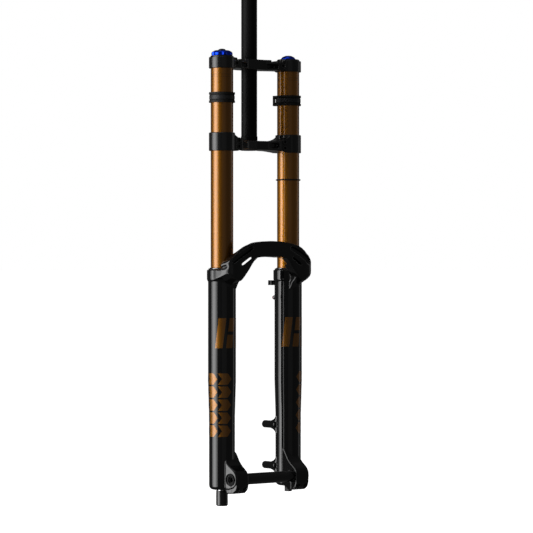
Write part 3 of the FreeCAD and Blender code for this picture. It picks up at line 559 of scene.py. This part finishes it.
def ring_of_wire(work, turn, height, winding, wire):
    """The corners of the wire's round section at one place along the coil."""
    ring = []
    for side in range(WIRE_SIDES):
        angle = 2 * math.pi * side / WIRE_SIDES
        reach = winding + wire * math.cos(angle)
        ring.append(work.verts.new((
            reach * math.cos(turn) - LEG_OFFSET, reach * math.sin(turn) + LEG_RAKE,
            height + wire * math.sin(angle))))
    return ring


def wind_spring(materials):
    """The floating piston's spring as a wound wire, in place of its CAD node."""
    wire = (SPRING_OUTER - SPRING_INNER) / 2
    winding = (SPRING_OUTER + SPRING_INNER) / 2
    work = bmesh.new()
    rings = []
    for t in np.linspace(0, 1, SPRING_TURNS * SPRING_STEPS + 1):
        rise = np.interp(t, (0, CLOSED_TURNS, 1 - CLOSED_TURNS, 1), (0, CLOSED_RISE, 1 - CLOSED_RISE, 1))
        height = SPRING_LOW + wire + rise * (SPRING_HIGH - SPRING_LOW - 2 * wire)
        rings.append(ring_of_wire(work, 2 * math.pi * SPRING_TURNS * t, height, winding, wire))
    for ring, following in zip(rings, rings[1:]):
        for side in range(WIRE_SIDES):
            after = (side + 1) % WIRE_SIDES
            work.faces.new((ring[side], ring[after], following[after], following[side]))
    work.faces.new(rings[0][::-1])
    work.faces.new(rings[-1])
    mesh = finished_mesh(work, "spring_coil", angle=60)
    coil = stand_in("ifp_spring", "spring_coil", mesh, materials)
    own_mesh(coil)


def slanted_side(start, end, low, high):
    """(angle, height) pairs up one side of a decal bar."""
    return [(start + (end - start) * t, low + (high - low) * t) for t in np.linspace(0, 1, DECAL_ROWS)]


def wrapped_grid(work, centre_x, facing, left, right, lift):
    """Rows of corners from a bar's left side to its right side, laid round a leg."""
    grid = []
    for (a0, z0), (a1, z1) in zip(left, right):
        row = []
        for step in range(DECAL_COLUMNS + 1):
            t = step / DECAL_COLUMNS
            angle = facing + math.radians(a0 + (a1 - a0) * t)
            z = z0 + (z1 - z0) * t
            radius = float(leg_radius(z)) + lift
            row.append(work.verts.new((
                centre_x + radius * math.sin(angle), LEG_RAKE - radius * math.cos(angle), z)))
        grid.append(row)
    return grid


def decal_bar(work, centre_x, facing, bottom, top):
    """One thin slanted bar wrapped round a leg: a closed skin from inside the paint to just above it."""
    left = slanted_side(bottom[0], top[0], bottom[2], top[2])
    right = slanted_side(bottom[1], top[1], bottom[2], top[2])
    outer = wrapped_grid(work, centre_x, facing, left, right, DECAL_LIFT)
    inner = wrapped_grid(work, centre_x, facing, left, right, -DECAL_DEPTH)
    for r in range(DECAL_ROWS - 1):
        for c in range(DECAL_COLUMNS):
            work.faces.new((outer[r][c], outer[r][c + 1], outer[r + 1][c + 1], outer[r + 1][c]))
            work.faces.new((inner[r][c], inner[r + 1][c], inner[r + 1][c + 1], inner[r][c + 1]))
    for c in range(DECAL_COLUMNS):
        work.faces.new((outer[0][c], inner[0][c], inner[0][c + 1], outer[0][c + 1]))
        work.faces.new((outer[-1][c], outer[-1][c + 1], inner[-1][c + 1], inner[-1][c]))
    for r in range(DECAL_ROWS - 1):
        work.faces.new((outer[r][0], outer[r + 1][0], inner[r + 1][0], inner[r][0]))
        work.faces.new((outer[r][-1], inner[r][-1], inner[r + 1][-1], outer[r + 1][-1]))


def decal_piece(name, side, facing, bars, material):
    """Bars on one leg; facing is their middle's angle from straight ahead, towards the rider's left."""
    work = bmesh.new()
    for bottom, top in bars:
        decal_bar(work, side * LEG_OFFSET, facing, bottom, top)
    add_piece(name, finished_mesh(work, name, angle=40), "lowers", material)


def front_mark():
    """Three leaning bars, the middle one split: each as (from, to, height) at its bottom and at its top."""
    low, high = FRONT_MARK_LOW, FRONT_MARK_HIGH
    middle = (low + high) / 2
    return [
        ((-68, -36, low), (-52, -20, high)),
        ((-22, 8, low), (-15, 15, middle - FRONT_MARK_GAP)),
        ((-12, 18, middle + FRONT_MARK_GAP), (-5, 25, high)),
        ((22, 54, low), (38, 70, high)),
    ]


def side_mark():
    """A column of bold chevrons in three ranks down the outer side, each made of two leaning bars."""
    bars = []
    for number in range(CHEVRON_ROWS):
        high = CHEVRON_TOP - number * CHEVRON_PITCH
        low = high - CHEVRON_HEIGHT
        middle = (low + high) / 2
        for start in CHEVRON_STARTS:
            tip = start + CHEVRON_LEAN
            bars += [((start, start + CHEVRON_WIDTH, middle), (tip, tip + CHEVRON_WIDTH, high)),
                     ((tip, tip + CHEVRON_WIDTH, low), (start, start + CHEVRON_WIDTH, middle))]
    return bars


def make_decals(material):
    """The same two marks on both legs, the side mark mirrored so that it points forward on each."""
    for side, word in ((-1, "right"), (1, "left")):
        decal_piece("front_mark_" + word, side, 0.0, front_mark(), material)
        mirrored = [((side * b[0], side * b[1], b[2]), (side * t[0], side * t[1], t[2]))
                    for b, t in side_mark()]
        decal_piece("side_mark_" + word, side, side * math.pi / 2, mirrored, material)


# ---------------------------------------------------------------- stage

TARGET = Vector((0.0240, -0.0198, -0.2249))
AZIMUTH = math.radians(-39.5)
TOWARDS_CAMERA = Vector((math.sin(AZIMUTH), -math.cos(AZIMUTH), 0))
CAMERA_DISTANCE = 4.817
LENS = 181.2
SENSOR_WIDTH = 36
LIGHT_TARGET = Vector((0, 0, -0.2))
KEY_AZIMUTH = -66.5
KEY_DISTANCE = 2.2
KEY_SPACING = 0.01
KEY_HEIGHT = 3.0
KEY_WIDTHS = (2.4, 1.55, 0.85)
KEY_RADIANCE = 1.9
ROOM_GLOW = 0.07
FLOOR_HEIGHT = -0.66
FLOOR_REACH = 200


def make_camera():
    """Level long lens on the fork's right front, as the photograph was taken."""
    data = bpy.data.cameras.new("camera")
    data.lens = LENS
    data.sensor_width = SENSOR_WIDTH
    data.clip_end = 2 * FLOOR_REACH
    camera = bpy.data.objects.new("camera", data)
    bpy.context.scene.collection.objects.link(camera)
    camera.location = TARGET + TOWARDS_CAMERA * CAMERA_DISTANCE
    camera.rotation_mode = "QUATERNION"
    camera.rotation_quaternion = (-TOWARDS_CAMERA).to_track_quat("-Z", "Y")
    bpy.context.scene.camera = camera


def softbox(name, azimuth, distance, height, size, power):
    """Rectangular area light round the fork; azimuth in degrees from the camera, positive to its right."""
    data = bpy.data.lights.new(name, "AREA")
    data.shape = "RECTANGLE"
    data.size, data.size_y = size
    data.energy = power
    light = bpy.data.objects.new(name, data)
    bpy.context.scene.collection.objects.link(light)
    turn = AZIMUTH + math.radians(azimuth)
    out = Vector((math.sin(turn), -math.cos(turn), 0))
    light.location = LIGHT_TARGET + out * distance + Vector((0, 0, height))
    light.rotation_mode = "QUATERNION"
    light.rotation_quaternion = (LIGHT_TARGET - light.location).to_track_quat("-Z", "Y")
    light.visible_camera = False


def make_lights():
    """A tall key softbox that fades towards its edges, a weak front fill, a thin rim and a wash above."""
    for number, width in enumerate(KEY_WIDTHS):
        power = KEY_RADIANCE * math.pi * width * KEY_HEIGHT
        softbox(f"key_{number}", azimuth=KEY_AZIMUTH, distance=KEY_DISTANCE + KEY_SPACING * number,
                height=0.0, size=(width, KEY_HEIGHT), power=power)
    softbox("front_fill", azimuth=20, distance=3.4, height=0.5, size=(2.4, 2.4), power=1.0)
    softbox("right_rim", azimuth=114, distance=2.2, height=0.0, size=(0.5, 2.6), power=1.6)
    softbox("top_wash", azimuth=-20, distance=0.8, height=2.6, size=(1.6, 1.6), power=6)


def make_stage():
    """Pale plain floor that runs to the horizon of a pale room; the floor doesn't show in the fork's gloss,
    and the room shows there only dimly.
    """
    world = bpy.data.worlds.new("white_room")
    world.use_nodes = True
    tree = world.node_tree
    seen = tree.nodes.new("ShaderNodeLightPath").outputs["Is Camera Ray"]
    strength = tree.nodes.new("ShaderNodeMapRange")
    strength.inputs["To Min"].default_value = ROOM_GLOW
    tree.links.new(seen, strength.inputs["Value"])
    tree.nodes["Background"].inputs["Color"].default_value = (1, 1, 1, 1)
    tree.links.new(strength.outputs["Result"], tree.nodes["Background"].inputs["Strength"])
    bpy.context.scene.world = world
    mesh = bpy.data.meshes.new("floor")
    signs = ((-1, -1), (1, -1), (1, 1), (-1, 1))
    corners = [(x * FLOOR_REACH, y * FLOOR_REACH, FLOOR_HEIGHT) for x, y in signs]
    mesh.from_pydata(corners, [], [(0, 1, 2, 3)])
    floor = bpy.data.objects.new("floor", mesh)
    bpy.context.scene.collection.objects.link(floor)
    g = Graph("pale_floor")
    g.use("Base Color", g.tones(g.noise(3), (0.90, 0.90, 0.90), (0.94, 0.94, 0.94)))
    g.set(Roughness=0.8, Emission_Color=(1, 1, 1, 1), Emission_Strength=0.98)
    mesh.materials.append(g.material)
    floor.visible_glossy = False
    floor.visible_diffuse = False
    bpy.context.scene.view_settings.view_transform = "Standard"


materials = make_materials()
finish_nodes(materials)
cast_lowers(materials["gloss_black_casting"])
soften_crown("lower_crown", "lower_crown_machined", LOWER_CROWN_VOXEL, materials)
soften_crown("upper_crown", "upper_crown_machined", UPPER_CROWN_VOXEL, materials)
wind_spring(materials)
make_decals(bronze_print())
make_camera()
make_lights()
make_stage()
